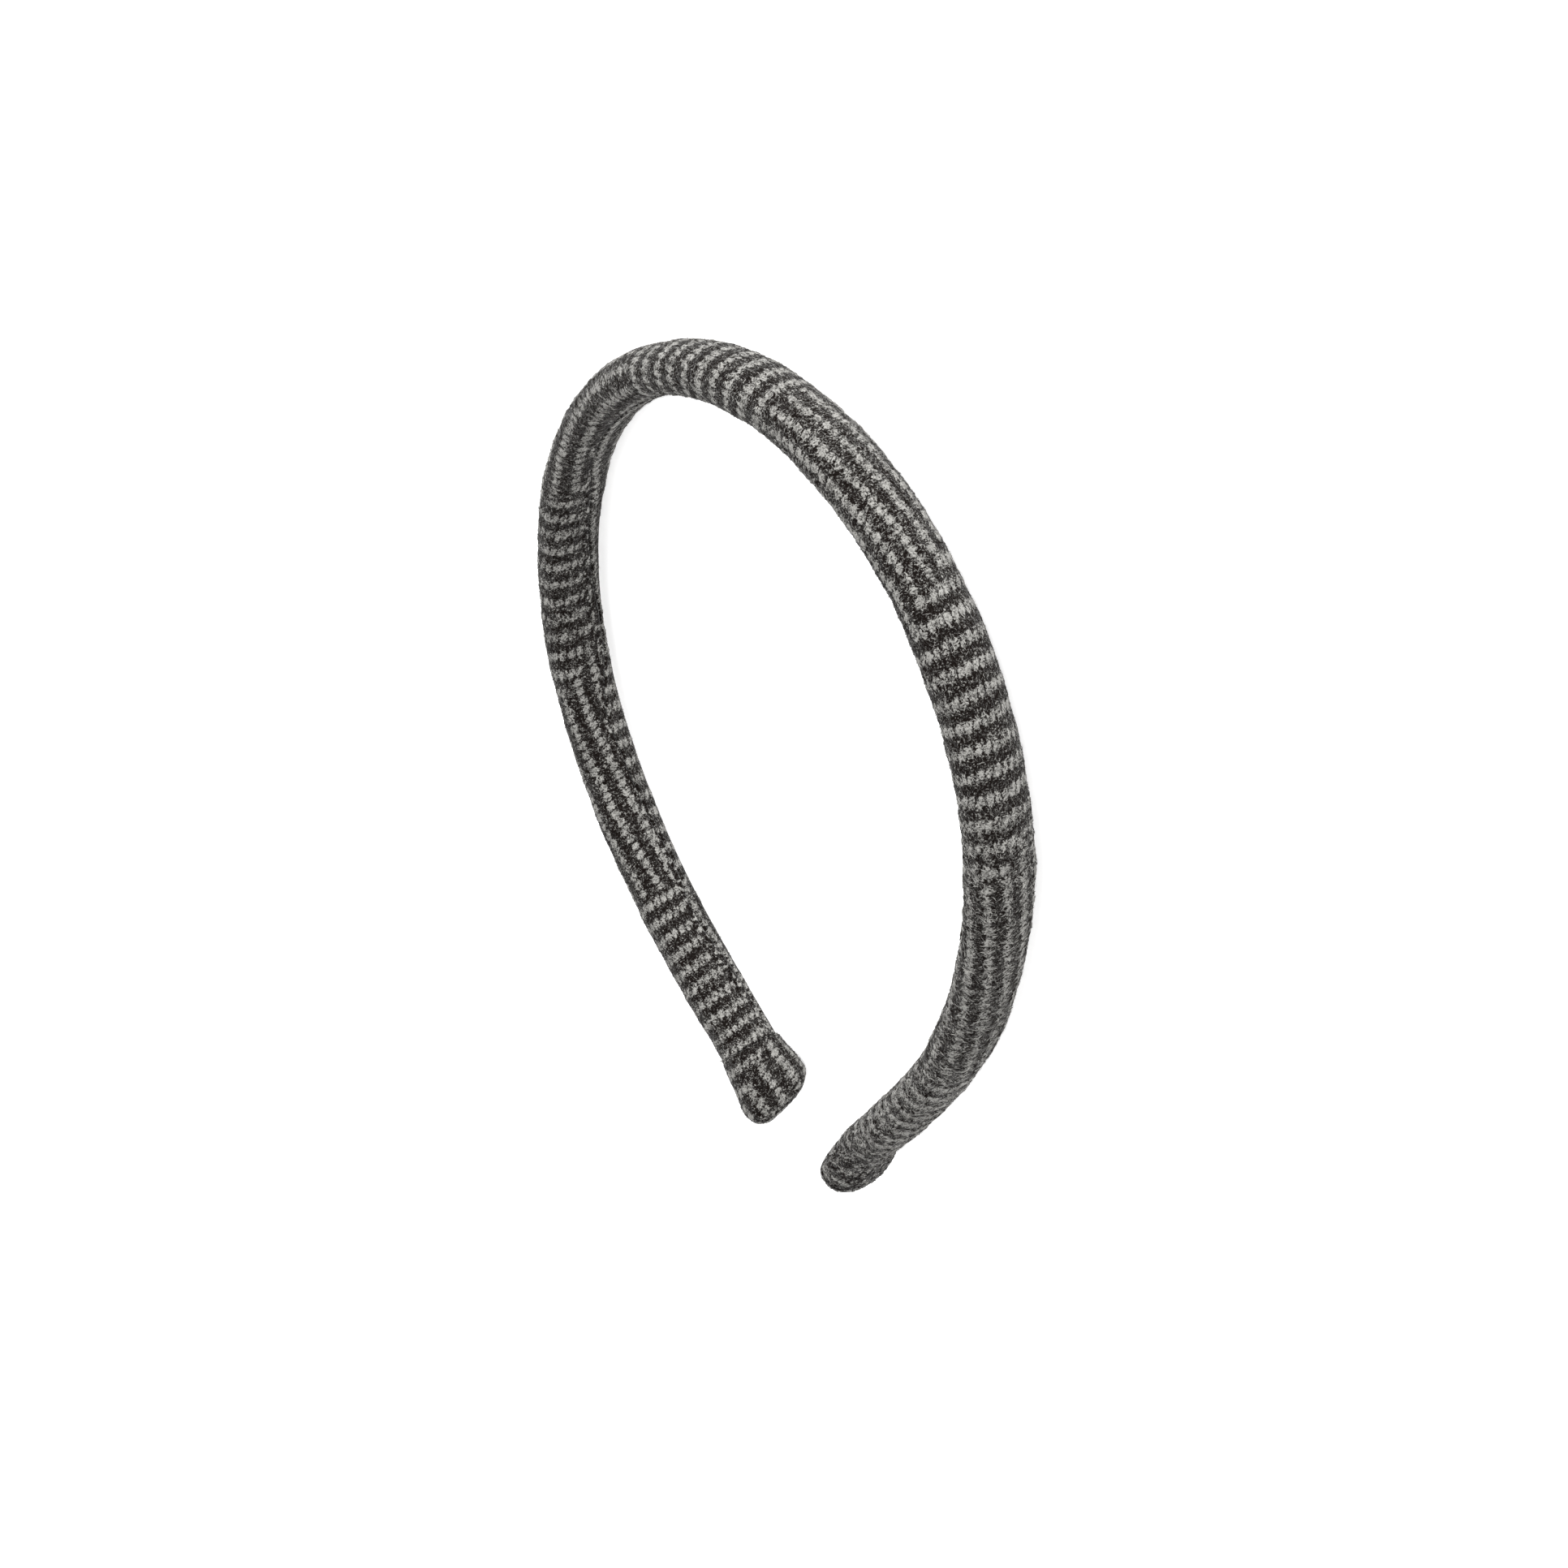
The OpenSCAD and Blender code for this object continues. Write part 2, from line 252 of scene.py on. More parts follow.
# How far fibres turn from their first third to their last, in radians either way
FIBRE_CURL = 1.0
# Shares of the length and of the thickness in a smooth nap, and what a ragged one adds
LENGTH_BY_RAGGEDNESS = (0.8, 0.6)
THICKNESS_BY_RAGGEDNESS = (0.7, 1)
# This share follows the yarns, at this twist and with this spread, in radians; the rest lies any way
COMBED_SHARE = 0.5
COMBED_TWIST = 0.2
COMBED_SPREAD = 0.35
# The chance that a fibre is light: on dark cloth, and what light cloth adds. Then the tones of each sort
LIGHT_CHANCE = (0.07, 0.8)
LIGHT_TONES = (0.4, 1.0)
DARK_TONES = (0, 0.15)
RAISED_TONES = (0.6, 1.2)

# Materials. The colours are dark and light wool
CLOTH_COLOURS = ((0.007, 0.005, 0.004, 1), (0.36, 0.353, 0.334, 1))
FIBRE_COLOURS = ((0.008, 0.0055, 0.0045, 1), (0.40, 0.392, 0.372, 1))
FLOOR_COLOURS = ((0.9, 0.9, 0.9, 1), (0.93, 0.93, 0.93, 1))
# Noises of the materials: how fine in a metre, how many octaves, how rough
BAR_DRIFT = (420, 1, 0.5)
LINE_DRIFT = (460, 1, 0.4)
BAR_RAGGED = (1700, 3, 0.7)
LINE_RAGGED = (1600, 3, 0.75)
CLOUD = (1300, 3, 0.75)
SPECK = (3600, 2, 0.6)
SPOTS = (850, 1.5, 0.6)
FIBRE_DRIFT = (2500, 2, 0.5)
FLOOR_DRIFT = (3, 3, 0.5)
# Streaks of a yarn's own fibres: their noise in millimetres, how warped and how drawn out they are
STREAK = (2.6, 2, 0.6)
STREAK_WARP = 0.3
STREAK_STRETCH = 3.5
# Bundles of strands, two light and one dark: how fine each is, and how it changes the tone
STRAND_SCALES = (750, 1200, 900)
STRAND_TONES = (0.24, 0.2, -0.42)
STRAND_NOISE = (2, 0.55)
STRAND_WARP = 0.6
STRAND_SHIFT = (0.013, 0.007, 0.003)
STRAND_RIPPLES = 5
STRAND_EDGE = 0.1
# How much the noises move the check, in rows, and how much they count in the tone
DRIFT_AMOUNT = 0.25
RAGGED_AMOUNT = 0.8
SPOT_AMOUNT = 5
CLOUD_AMOUNT = 1.5
SPECK_AMOUNT = 2.8
STREAK_AMOUNT = 1.1
FIBRE_DRIFT_AMOUNT = 0.3
# The tone of the light yarn: its least, and what its own random brightness adds
YARN_TONE = (0.66, 0.26)
# The tones that the darkest and the lightest colour stand for
TONE_RANGE = (0.12, 1.06)
# Bump of the cloth: its strength and depth in metres, and how much strands and streaks count in it
BUMP_STRENGTH = 0.8
BUMP_DEPTH = 0.00025
BUMP_STRANDS = 0.35
BUMP_STREAKS = 0.5

# Maps for textures: the share of a map left free at its edges, the strips that a long piece is cut into, and
# the places of a strand's points in its own square of the map: its root, two rings of three, and its end
MAP_EDGE = 0.01
COVER_STRIPS = 4
LAP_STRIPS = 6
STRAND_SQUARE = np.array([
    [0.1, 0.5], [0.35, 0.15], [0.35, 0.5], [0.35, 0.85], [0.65, 0.15], [0.65, 0.5], [0.65, 0.85], [0.9, 0.5],
])
STRAND_POINTS = len(STRAND_SQUARE)

# The floor, in metres, at the height of the lowest yarns
FLOOR_HALF_SIZE = 8.0
FLOOR_HEIGHT = -0.0004
FLOOR_GLOW = 0.6

# The camera of the photograph, in the band's own axes before it is laid down: its right, down and view
CAMERA_RIGHT = (0.60549, -0.11949, -0.78683)
CAMERA_DOWN = (0.28772, -0.88893, 0.35641)
CAMERA_VIEW = (-0.74202, -0.44219, -0.50386)
CAMERA_PLACE = (284.96, 99.97, 191.13)
FOCAL_PIXELS = 2918
FRAME_PIXELS = 1932
SENSOR_WIDTH = 36
CLIP_RANGE = (0.01, 50)

# The key light's place and size in metres, and its power
KEY_PLACE = (0.2, 1.3, 0.5)
KEY_SIZE = 1.0
KEY_POWER = 19

SEED = 11
rng = np.random.default_rng(SEED)

# Slow lumps of the padding: length along the band and height, then a random start and slant for each
LUMP_SIZES = ((31, 0.06), (17, 0.045), (9.5, 0.035), (5.3, 0.03))
LUMP_SLANT = 0.5
LUMPS = [
    (length, height, rng.uniform(0, 2 * math.pi), rng.uniform(-LUMP_SLANT, LUMP_SLANT))
    for length, height in LUMP_SIZES
]


def column(table, place, number):
    return np.interp(place, table[:, 0], table[:, number])


def smooth_step(value, low, high):
    share = np.clip((value - low) / (high - low), 0, 1)
    return share * share * (3 - 2 * share)


def soft_edge(value, edge, softness):
    return smooth_step(value, edge - softness, edge + softness)


def between(limits, number):
    """Random numbers between two limits."""
    return rng.uniform(*limits, number)


def growing(amounts, value):
    """The first amount, and the second times a value."""
    return amounts[0] + amounts[1] * value


def arm_at(place):
    return np.where(place < 0, LEFT_ARM, RIGHT_ARM)


def walk(place):
    """x, y and heading of the centreline at places along the band, as if on the right side."""
    left = np.abs(place)
    x, y, heading = np.zeros_like(left), np.zeros_like(left), np.zeros_like(left)
    lower = arm_at(place) - (CROWN_ARC[0] + SHOULDER_ARC[0] + SIDE_ARC[0] + FLARE_ARC[0])
    for length, radius in (CROWN_ARC, SHOULDER_ARC, SIDE_ARC, (lower, LOWER_RADIUS), FLARE_ARC):
        part = np.minimum(left, length)
        turned = heading + part / radius
        x = x + radius * (np.sin(turned) - np.sin(heading))
        y = y + radius * (np.cos(turned) - np.cos(heading))
        heading, left = turned, left - part
    return x, y, heading


def squared(value, squareness):
    return np.sign(value) * np.abs(value) ** (2 / squareness)


def section(angle, reach):
    """Outwards and upwards at angles over the top, for reaches [..., 4]: out, in, up, down."""
    cosine, sine = np.cos(angle), np.sin(angle)
    squareness = np.where(cosine > 0, OUTER_SQUARENESS, INNER_SQUARENESS)
    across, up = squared(cosine, squareness), squared(sine, squareness)
    outwards = across * np.where(across > 0, reach[..., 0], reach[..., 1])
    upwards = up * np.where(up > 0, reach[..., 2], reach[..., 3])
    return outwards, upwards


# Way round the plain section in millimetres, from the outward direction over the top, against the angle
RING_ANGLES = np.linspace(0, 2 * math.pi, 1441)
ring_out, ring_up = section(RING_ANGLES, BAND_REACH)
RING_WAYS = np.concatenate([[0], np.cumsum(np.hypot(np.diff(ring_out), np.diff(ring_up)))])
GIRTH = RING_WAYS[-1]


def angle_at(way):
    turns = np.floor(way / GIRTH)
    return np.interp(way - turns * GIRTH, RING_WAYS, RING_ANGLES) + turns * 2 * math.pi


def way_at(degrees):
    return np.interp(np.radians(degrees), RING_ANGLES, RING_WAYS)


def seam_way(place):
    """Way round of the lap's turned edge."""
    return way_at(HEAD_SIDE_ANGLE + column(SEAM_LINE, place, 1))


def band_point(place, outwards, upwards, tipwards=0.0):
    """Points [..., 3] in millimetres, before the band is laid down."""
    x, y, heading = walk(place)
    side = np.where(place < 0, -1.0, 1.0)
    x = x + outwards * np.sin(heading) + tipwards * np.cos(heading)
    y = y + outwards * np.cos(heading) - tipwards * np.sin(heading)
    return np.stack(np.broadcast_arrays(side * x, y, upwards), -1)


def laid(points):
    """The same points laid down as part.scad does it, in metres."""
    cosine, sine = math.cos(REST_TILT), math.sin(REST_TILT)
    turn = np.array([[1, 0, 0], [0, cosine, -sine], [0, sine, cosine]])
    return (points @ turn.T + ORIGIN_SHIFT) * MM


def rounded_share(distance, length, least):
    part = 1 - np.clip(distance / length, 0, 1)
    return least + (1 - least) * (1 - part ** TIP_ROUNDNESS) ** (1 / TIP_ROUNDNESS)


def fold_reach(side, distance, inset):
    """Reaches [..., 4] of the folded cloth at distances from a tip, drawn in by an inset."""
    table = LEFT_SWELL if side < 0 else RIGHT_SWELL
    swell = np.stack([column(table, distance, number) for number in (1, 2, 3, 4)], -1) - inset
    nose = rounded_share(distance - inset, TIP_NOSE, NOSE_LEAST)
    corner = rounded_share(distance - inset, TIP_CORNER, CORNER_LEAST)
    return (BAND_REACH + swell) * np.stack([nose, nose, corner, corner], -1)


def tip_lean(place, upwards):
    """How far the slanted end of an arm moves a point towards its tip."""
    slant = np.where(place < 0, LEFT_SLANT, RIGHT_SLANT)
    near = np.clip(1 - (arm_at(place) - np.abs(place)) / SLANT_LENGTH, 0, None)
    return slant * upwards / HALF_WIDTH * near / 2


def check_at(place, way):
    """Bar number, line number and kind (0 bars, 1 lines) of the check at a place and a way round."""
    from_read = way - column(BAR_LEAN, place, 2)
    bar = column(BAR_ROUTE, place - column(BAR_LEAN, place, 1) * from_read, 1)
    line = (way - column(LINE_ROUTE, place, 1)) / column(LINE_ROUTE, place, 2)
    kind = np.ones_like(bar)
    for number, (edge, slant) in enumerate(BLOCK_EDGES):
        step = soft_edge(bar, edge + slant * from_read, BLOCK_SOFTNESS)
        kind = kind - step if number % 2 == 0 else kind + step
    row = soft_edge(way, ROW_EDGE, ROW_SOFTNESS)
    return bar, line, kind * row + (1 - kind) * (1 - row)


def ovals(row, way, form):
    """1 in the middle of an oval and 0 outside it, softly, at a row number and a way along the row."""
    number = np.round(row)
    across = (row - number) * form["row"]
    along = way * form["count"] + number * form["shift"]
    along = (along - np.round(along)) * form["step"] - OVAL_SLANT * across
    distance = np.hypot(across / form["half"][0], along / form["half"][1])
    return 1 - smooth_step(distance, *RELIEF_FADE)


def yarn(check, shift=0.0):
    """How much light yarn shows for the numbers of the check. Shifted by half a row, it is the dark yarn."""
    bar, line, kind = check
    return ovals(bar + shift, line, BAR_OVALS) * (1 - kind) + ovals(line + shift, bar, LINE_OVALS) * kind


def relief(check, place, way):
    """Height of the yarns and of the padding's slight lumps, in millimetres."""
    lumps = 0
    for length, height, start, slant in LUMPS:
        drift = slant * np.sin(way / GIRTH * 2 * math.pi)
        lumps = lumps + height * np.sin(2 * math.pi * (place + drift) / length + start)
    return LIGHT_YARN_HEIGHT * yarn(check) + DARK_YARN_HEIGHT * yarn(check, 0.5) - BETWEEN_DEPTH + lumps


def nap_at(place, dark):
    """The four numbers of the nap at places; where dark is 1 they are those of the darkened nap, as beside
    the seam and in the painted shade on the right tip's nose.
    """
    nap = np.stack([column(NAP_AND_PAINTED_LIGHT, place, number) for number in (1, 2, 3, 4)], -1)
    return nap + (DARKENED_NAP - nap) * dark[..., None]


def unit(vectors):
    return vectors / (np.linalg.norm(vectors, axis=-1, keepdims=True) + 1e-15)


def outward_normals(points):
    """Unit normals of rows of closed rings, away from the rings' middles."""
    along = np.gradient(points, axis=0)
    round_way = np.roll(points, -1, axis=1) - np.roll(points, 1, axis=1)
    normal = unit(np.cross(round_way, along))
    away = points - points.mean(1, keepdims=True)
    middle = len(points) // 2
    return normal * np.sign((normal[middle] * away[middle]).sum())


class Grid:
    """Rows of closed rings of points, raised by heights in millimetres and laid down. Each point has the
    numbers of the check and the nap, each row has a place along the band. Fibres grow on the open part."""

    def __init__(self, points, heights, check, nap, places, open_rows, open_columns):
        self.points = laid(points + outward_normals(points) * heights[..., None])
        self.normals = outward_normals(self.points)
        self.along = unit(np.gradient(self.points, axis=0))
        self.check = np.stack(np.broadcast_arrays(*check), -1)
        self.nap = nap
        self.places = places
        self.open_rows = open_rows
        self.open_columns = open_columns


def cover_grid():
    """The padded band: fine rings where it shows, and a few inside each fold."""
    start, stop = -LEFT_ARM + FOLD_LENGTH + 2 * CLEARANCE, RIGHT_ARM - FOLD_LENGTH - 2 * CLEARANCE
    shown = np.linspace(start, stop, round((stop - start) / SECTION_SPACING) + 1)
    hidden = COVER_HIDDEN_ROWS
    places = np.concatenate([-LEFT_ARM + hidden, shown, (RIGHT_ARM - hidden)[::-1]])[:, None]
    distance = arm_at(places) - np.abs(places)
    open_rows = slice(len(hidden), len(places) - len(hidden))
    folded = np.ones_like(places, bool)
    folded[open_rows] = False
    reach = np.where(folded[..., None], 0, BAND_REACH)
    for side in (-1, 1):
        inside = folded[:, 0] & (places[:, 0] * side > 0)
        reach[inside, 0] = fold_reach(side, distance[inside, 0], FOLD_THICKNESS + 2 * CLEARANCE)
    seam = seam_way(places) - SEAM_TUCK
    below = way_at(LAP_END_ANGLE + LAP_END_GAP) - GIRTH
    open_way = below + (seam - below) * np.linspace(0, 1, OPEN_POINTS)[None]
    outwards, upwards = section(angle_at(open_way), reach)
    open_points = band_point(places, outwards, upwards, tip_lean(places, upwards))
    back_way = seam + (below + GIRTH - seam) * np.linspace(0, 1, HIDDEN_POINTS)[None]
    depth = np.where(folded, DEPTH_IN_FOLD, LAP_THICKNESS + 2 * CLEARANCE)[..., None]
    outwards, upwards = section(angle_at(back_way), np.maximum(LEAST_REACH, reach - depth))
    back_points = band_point(places, outwards, upwards, tip_lean(places, upwards))
    points = np.concatenate([open_points, back_points], 1)
    way = np.concatenate([open_way, back_way], 1)
    place = np.broadcast_to(places, way.shape)
    check = check_at(place, way)
    edge = smooth_step(np.minimum(open_way - below, seam - open_way), 0, COVER_EDGE_WIDTH)
    heights = np.concatenate([edge * relief(check, place, way)[:, :OPEN_POINTS], 0 * back_way], 1)
    heights = heights - np.concatenate([COVER_EDGE_DIP * (1 - edge), 0 * back_way], 1) * ~folded
    heights = heights * smooth_step(distance - FOLD_LENGTH, 2 * CLEARANCE, COVER_RELIEF_START)
    nap = nap_at(place, soft_edge(way - seam + column(DARK_BAND, place, 1), 0, DARK_BAND_SOFTNESS))
    open_columns = slice(COVER_BARE_POINTS, OPEN_POINTS - COVER_BARE_POINTS)
    return Grid(points, heights, check, nap, places[:, 0], open_rows, open_columns)


def lap_check(place, from_seam):
    kind = 0
    for low, high in LAP_LINES:
        kind = kind + soft_edge(place, low, LAP_LINES_SOFTNESS) - soft_edge(place, high, LAP_LINES_SOFTNESS)
    bar = column(BAR_ROUTE, place, 1) - LAP_BAR_SHIFT
    return bar, (from_seam - column(EDGE_LINE, place, 1)) / LINE_PERIOD, kind


def lap_grid():
    """The lapped cloth on the head side, with its turned edge rounded over."""
    start = -LEFT_ARM + FOLD_LENGTH + 4 * CLEARANCE
    stop = RIGHT_ARM - FOLD_LENGTH - 4 * CLEARANCE
    places = np.linspace(start, stop, round((stop - start) / SECTION_SPACING) + 1)[:, None]
    seam = seam_way(places)
    begin, end = seam + LAP_EDGE_WIDTH, way_at(LAP_END_ANGLE)
    share = np.linspace(0, 1, LAP_OUTER_POINTS)[None] ** LAP_CROWDING
    outer_way = begin + (end - begin) * share
    inner_way = begin + (end - begin) * np.linspace(1, 0, LAP_INNER_POINTS)[None]
    turn = np.linspace(0, math.pi, LAP_EDGE_POINTS + 2)[None, 1:-1]
    edge_way = seam + LAP_EDGE_WIDTH * (1 - np.sin(turn))
    way = np.concatenate([outer_way, inner_way, edge_way], 1)
    rise = LAP_EDGE_RISE * np.clip(1 - share / LAP_FALL, 0, 1)
    edge_depth = LAP_EDGE_RISE - (LAP_THICKNESS + LAP_EDGE_RISE) * (1 + np.cos(turn)) / 2
    depth = np.concatenate([
        np.broadcast_to(rise, outer_way.shape),
        np.full(inner_way.shape, -LAP_THICKNESS),
        np.broadcast_to(edge_depth, edge_way.shape),
    ], 1)
    outwards, upwards = section(angle_at(way), BAND_REACH + depth[..., None])
    points = band_point(places, outwards, upwards)
    place = np.broadcast_to(places, way.shape)
    check = lap_check(place, way - seam)
    heights = relief(check, place, way) * smooth_step(way - seam, *LAP_RELIEF_START)
    heights[:, LAP_OUTER_POINTS:] = 0
    nap = nap_at(place, 0 * way)
    open_columns = slice(0, LAP_OUTER_POINTS - LAP_BARE_POINTS)
    return Grid(points, heights, check, nap, places[:, 0], slice(0, len(places)), open_columns)


def fold_grid(side):
    """Cloth folded round a tip: an outer skin from the nose to the rounded rim, and an inner skin back."""
    arm = LEFT_ARM if side < 0 else RIGHT_ARM
    outer = np.concatenate([(1 - np.cos(FOLD_NOSE_ANGLES)) * FOLD_NOSE_DEPTH, FOLD_SHOWN_ROWS])
    way = np.linspace(0, GIRTH, FOLD_POINTS, endpoint=False)[None]
    rows = []
    for share, bulge in FOLD_CAPS:
        reach = fold_reach(side, np.array([0.0]), 0)[:, None] * share
        outwards, upwards = section(angle_at(way), reach)
        place = np.full((1, FOLD_POINTS), side * arm)
        rows.append(band_point(place, outwards, upwards, tip_lean(place, upwards) + bulge))
    for distances, inset in ((outer, 0.0), (FOLD_INNER_ROWS, FOLD_THICKNESS)):
        distance = distances[:, None]
        place = np.broadcast_to(side * (arm - distance), (len(distances), FOLD_POINTS))
        rim = RIM_ROUNDING * smooth_step(distance, FOLD_LENGTH - RIM_WIDTH, FOLD_LENGTH) ** 2 * (inset == 0)
        reach = fold_reach(side, distance, inset) - rim[..., None]
        outwards, upwards = section(angle_at(way), reach)
        rows.append(band_point(place, outwards, upwards, tip_lean(place, upwards)))
    points = np.concatenate(rows)
    first, last = len(FOLD_CAPS), len(FOLD_CAPS) + len(outer)
    distance = np.concatenate([np.zeros(first), outer, FOLD_INNER_ROWS])[:, None]
    place = np.broadcast_to(side * (arm - distance), points.shape[:2])
    way = np.broadcast_to(way, place.shape)
    way = np.where(way > way_at(LAP_END_ANGLE), way - GIRTH, way)
    check = check_at(place, way + LEFT_PULL * smooth_step(way, *LEFT_PULL_WAYS) * (side < 0))
    heights = relief(check, place, way) * smooth_step(distance, *NOSE_RELIEF_START)
    heights = heights * smooth_step(FOLD_LENGTH - distance, *RIM_RELIEF_START)
    heights[last:] = 0
    # Painted shade: the right tip's nose is made dark here
    dark = smooth_step(place, *PAINTED_SHADE_NOSE) * (1 - soft_edge(way, PAINTED_SHADE_NOSE_WAY, PAINTED_SHADE_NOSE_SOFTNESS))
    nap = nap_at(place, dark)
    return Grid(points, heights, check, nap, place[:, 0], slice(first, last), slice(0, FOLD_POINTS))


def on_map(share):
    """A place on a texture map for a share of its length, clear of its edges."""
    return MAP_EDGE + (1 - 2 * MAP_EDGE) * share


def strip_map(points, strips):
    """Places on a texture map for the corners of all quads and fans. The rings are unrolled into strips, one
    above another, and the fans lie in the free edge."""
    steps = np.linalg.norm(np.diff(points, axis=0), axis=-1).mean(1)
    run = np.concatenate([[0], np.cumsum(steps)])
    strip = np.minimum((run[:-1] / run[-1] * strips).astype(int), strips - 1)
    first = np.array([run[:-1][strip == number].min() for number in range(strips)])[strip]
    longest = (run[1:] - first).max()
    share = on_map(np.linspace(0, 1, points.shape[1] + 1))
    height = (strip[:, None] + share[None]) / strips
    low, high = height[:, :-1], height[:, 1:]
    near = on_map((run[:-1] - first) / longest)[:, None] + 0 * low
    far = on_map((run[1:] - first) / longest)[:, None] + 0 * low
    quads = np.stack([near, low, near, high, far, high, far, low], -1).reshape(-1, 2)
    fans = []
    for row, edge, free in ((0, near, near - MAP_EDGE), (-1, far, far + MAP_EDGE)):
        sides = (high, low) if row == 0 else (low, high)
        middle = (low + high) / 2
        corners = [free[row], middle[row], edge[row], sides[0][row], edge[row], sides[1][row]]
        fans.append(np.stack(corners, -1).reshape(-1, 2))
    return np.concatenate([quads, *fans])


def strand_map(tone, point, strand):
    """Places on a texture map for corners, given as point numbers in their strands. Each strand has a
    square of its own, in the order of the tones."""
    side = math.ceil(math.sqrt(len(tone)))
    square = np.argsort(np.argsort(tone, kind="stable"), kind="stable")
    corner = np.stack([square[strand] % side, square[strand] // side], -1)
    return ((corner + STRAND_SQUARE[point]) / side).reshape(-1, 2)


def lay_map(mesh, places):
    layer = mesh.uv_layers.new(name="OFBake")
    layer.uv.foreach_set("vector", places.astype(np.float32).ravel())


def lay_numbers(mesh, name, numbers):
    """Three numbers for each point of a mesh, for its material to read."""
    attribute = mesh.attributes.new(name, "FLOAT_VECTOR", "POINT")
    attribute.data.foreach_set("vector", numbers.astype(np.float32).ravel())


def with_ends(values):
    """The values of a grid's points in one list, and those of the two fans' middles."""
    return np.concatenate([values.reshape(-1, values.shape[-1]), values[0, :1], values[-1, :1]])[:, :3]


def make_piece(name, grid, material, strips=1):
    """A closed mesh from a grid of rings, with a fan over each end."""
    rows, ring, _ = grid.points.shape
    ends = np.stack([grid.points[0].mean(0), grid.points[-1].mean(0)])
    vertices = np.concatenate([grid.points.reshape(-1, 3), ends])
    row = np.arange(rows - 1)[:, None] * ring
    here = np.arange(ring)[None]
    after = (here + 1) % ring
    quads = np.stack([row + here, row + after, row + ring + after, row + ring + here], -1).reshape(-1, 4)
    last = (rows - 1) * ring
    fans = [(rows * ring, int(b), int(a)) for a, b in zip(here[0], after[0])]
    fans += [(rows * ring + 1, last + int(a), last + int(b)) for a, b in zip(here[0], after[0])]
    mesh = bpy.data.meshes.new(name)
    mesh.from_pydata(vertices.tolist(), [], quads.tolist() + fans)
    lay_map(mesh, strip_map(grid.points, strips))
    lay_numbers(mesh, "check", with_ends(grid.check))
    lay_numbers(mesh, "nap", with_ends(grid.nap))
    return finish_piece(name, mesh, material)


def finish_piece(name, mesh, material):
    mesh.polygons.foreach_set("use_smooth", np.ones(len(mesh.polygons), bool))
    mesh.materials.append(material)
    mesh.validate()
    mesh.update()
    piece = bpy.data.objects.new(name, mesh)
    bpy.context.scene.collection.objects.link(piece)
    if signed_volume(mesh) < 0:
        mesh.flip_normals()
    return piece


def signed_volume(mesh):
    mesh.calc_loop_triangles()
    corners = np.zeros(len(mesh.loop_triangles) * 3, np.int32)
    mesh.loop_triangles.foreach_get("vertices", corners)
    points = np.zeros(len(mesh.vertices) * 3, np.float32)
    mesh.vertices.foreach_get("co", points)
    a, b, c = points.reshape(-1, 3)[corners].reshape(-1, 3, 3).transpose(1, 0, 2).astype(float)
    return float((a * np.cross(b, c)).sum() / 6)


def roots(grids, low, high, count):
    """Random places on what shows of the grids between two distances from the crown's middle: points,
    normals, directions along the band, the check and the nap."""
    found = []
    for grid in grids:
        rows = np.arange(grid.open_rows.start, grid.open_rows.stop - 1)
        rows = rows[(grid.places[rows] >= low) & (grid.places[rows] < high)]
        if not len(rows):
            continue
        columns = np.arange(grid.open_columns.start, grid.open_columns.stop - 1)
        corner = grid.points[np.ix_(rows, columns)]
        down = grid.points[np.ix_(rows + 1, columns)] - corner
        over = grid.points[np.ix_(rows, columns + 1)] - corner
        found.append((grid, rows, columns, np.linalg.norm(np.cross(down, over), axis=-1)))
    total = sum(area.sum() for _, _, _, area in found)
    parts = []
    for grid, rows, columns, area in found:
        number = int(round(count * area.sum() / total))
        flat = rng.choice(area.size, number, p=area.ravel() / area.sum())
        row, col = rows[flat // len(columns)], columns[flat % len(columns)]
        down, over = rng.random((2, number, 1))
        mixed = []
        for values in (grid.points, grid.normals, grid.along, grid.check, grid.nap):
            near = values[row, col] * (1 - down) + values[row + 1, col] * down
            far = values[row, col + 1] * (1 - down) + values[row + 1, col + 1] * down
            mixed.append(near * (1 - over) + far * over)
        parts.append(mixed)
    return [np.concatenate(values) for values in zip(*parts)]


def fibre_points(points, normals, along, yarn_way, ragged, raised):
    """The points of each fibre: its root, two rings of three round its middle, and its end."""
    number = len(points)
    across = np.cross(normals, along)
    heading = np.where(rng.random(number) < COMBED_SHARE, yarn_way + rng.normal(0, COMBED_SPREAD, number),
                       rng.uniform(0, 2 * math.pi, number))
    curl = rng.normal(0, FIBRE_CURL, number)
    length = between(FIBRE_LENGTH, number) * growing(LENGTH_BY_RAGGEDNESS, ragged) * MM
    lift = np.where(raised, between(RAISED_LIFT, number), between(LYING_LIFT, number)) * MM
    lying = between(LYING_THICKNESS, number) * growing(THICKNESS_BY_RAGGEDNESS, ragged)
    thick = np.where(raised, RAISED_THICKNESS, lying) * MM
    path = [points - normals * ROOT_DEPTH * MM]
    for step, arch in enumerate(FIBRE_ARCH):
        turn = heading + curl * step / 2
        way = along * np.cos(turn)[:, None] + across * np.sin(turn)[:, None]
        path.append(path[-1] + way * (length / 3)[:, None] + normals * (lift * arch)[:, None])
    path = np.stack(path, 1)
    middle = []
    for step in (1, 2):
        ahead = unit(path[:, step + 1] - path[:, step - 1])
        side = unit(np.cross(ahead, normals))
        up = np.cross(side, ahead)
        for turn in np.radians((90, 210, 330)):
            offset = side * math.cos(turn) + up * math.sin(turn)
            middle.append(path[:, step] + offset * thick[:, None])
    return np.stack([path[:, 0], *middle, path[:, 3]], 1).reshape(-1, 3)


